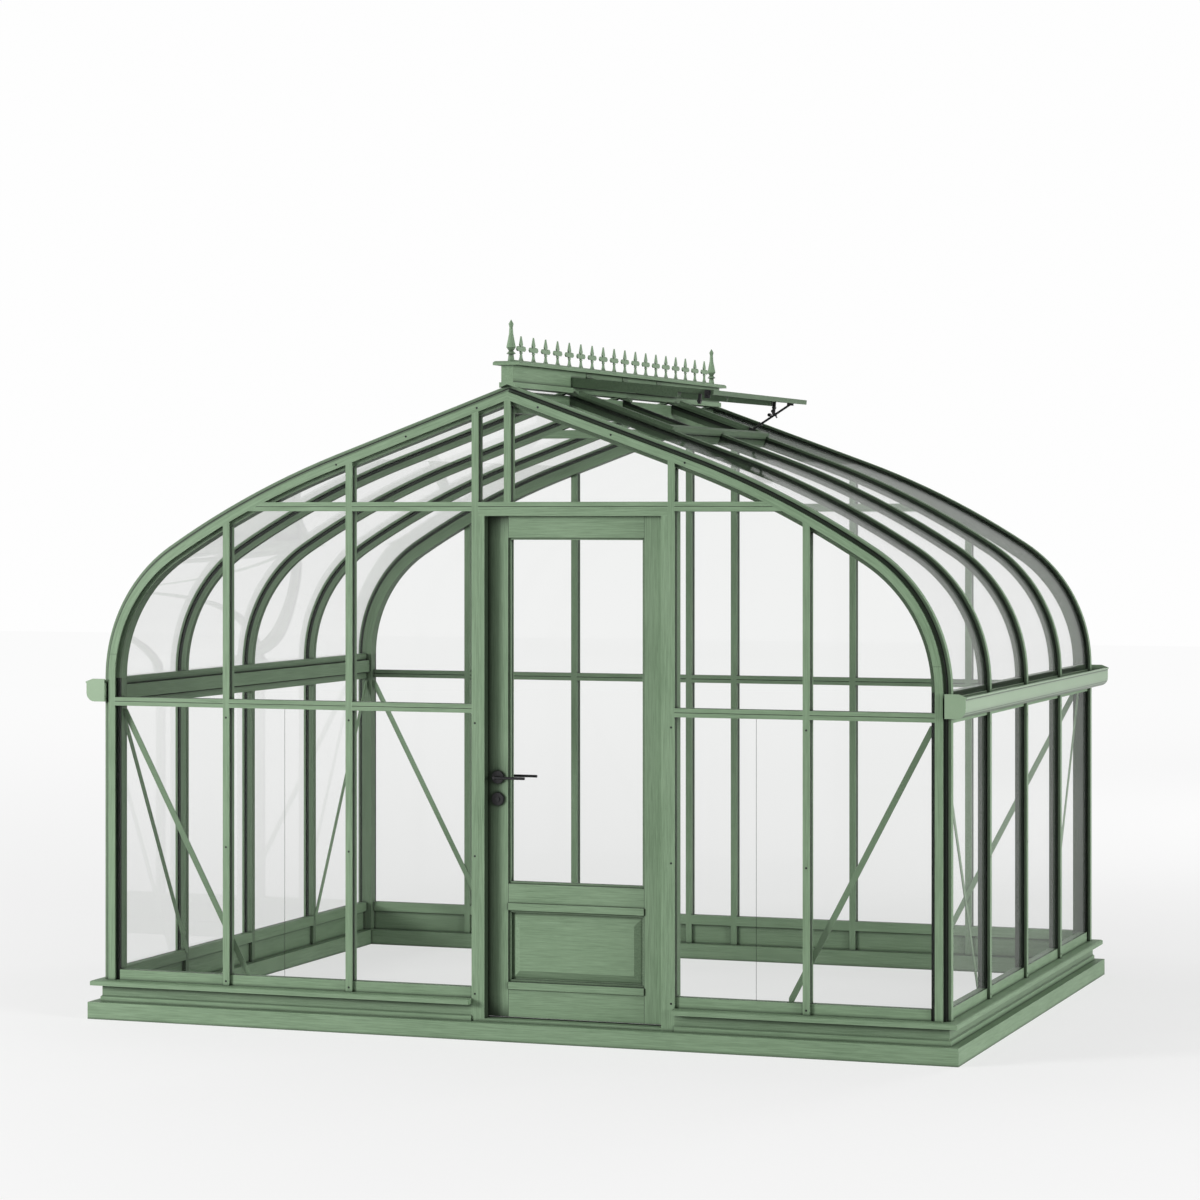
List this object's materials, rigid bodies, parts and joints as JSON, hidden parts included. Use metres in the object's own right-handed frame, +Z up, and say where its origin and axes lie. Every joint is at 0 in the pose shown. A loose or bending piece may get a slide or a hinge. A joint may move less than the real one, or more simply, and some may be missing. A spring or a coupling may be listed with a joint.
{
  "type": "greenhouse",
  "caption": "Glazed timber greenhouse with curved eaves, a ridge with iron cresting, a roof vent held open and a hinged half-glazed door with a lever handle.",
  "frame": {"origin": "middle of the footprint at ground level", "axes": "+Z up, +X to the right of someone who faces the door from outside, +Y from the door gable to the back gable"},
  "size_m": [3.74, 2.778, 2.864],
  "materials": {
    "painted_timber": "sage green paint on fine grained timber",
    "painted_metal": "sage green paint on metal",
    "clear_glass": "clear",
    "black_metal": "satin black"
  },
  "bodies": {
    "frame": {"back_base": "painted_timber", "back_glass": "clear_glass", "back_left_rafter": "painted_timber", "back_rails": "painted_timber", "back_right_rafter": "painted_timber", "back_sill": "painted_timber", "back_wall_bars": "painted_timber", "collar_tie": "painted_timber", "corner_braces": "painted_metal", "corner_posts": "painted_timber", "door_frame": "painted_timber", "door_hinge_pins": "black_metal", "door_posts": "painted_timber", "door_threshold": "painted_timber", "eaves_plates": "painted_timber", "front_base": "painted_timber", "front_glass": "clear_glass", "front_left_rafter": "painted_timber", "front_rails": "painted_timber", "front_right_rafter": "painted_timber", "front_sill": "painted_timber", "front_wall_bars": "painted_timber", "king_post": "painted_timber", "left_gutter": "painted_metal", "left_roof_ribs": "painted_timber", "plinth_ends": "painted_timber", "plinth_sides": "painted_timber", "ridge_board": "painted_timber", "ridge_box": "painted_timber", "ridge_cap": "painted_timber", "ridge_cresting": "painted_metal", "ridge_finials": "painted_metal", "right_gutter": "painted_metal", "right_roof_ribs": "painted_timber", "roof_curved_glass": "clear_glass", "roof_flat_glass": "clear_glass", "side_base": "painted_timber", "side_sills": "painted_timber", "side_wall_bars": "painted_timber", "side_wall_glass": "clear_glass", "vent_curb": "painted_timber", "vent_glass": "clear_glass", "vent_sash": "painted_timber", "vent_stays": "black_metal", "vent_trimmers": "painted_timber"},
    "door": {"door_stiles": "painted_timber", "door_rails": "painted_timber", "door_glass": "clear_glass", "door_panel": "painted_timber", "lock_furniture": "black_metal", "door_hinge_leaves": "black_metal"},
    "lever": {"door_lever": "black_metal"}
  },
  "joints": [
    {"name": "door_hinge", "type": "hinge", "parent": "frame", "child": "door", "pos_m": [0.6525, -1.2487, 0], "axis": [0, 0, -1], "range_deg": [0, 95]},
    {"name": "lever_turn", "type": "hinge", "parent": "door", "child": "lever", "pos_m": [-0.055, -1.277, 1.04], "axis": [0, 1, 0], "range_deg": [0, 40], "stiffness_Nm_per_rad": 2, "springref_deg": -20.05}
  ]
}
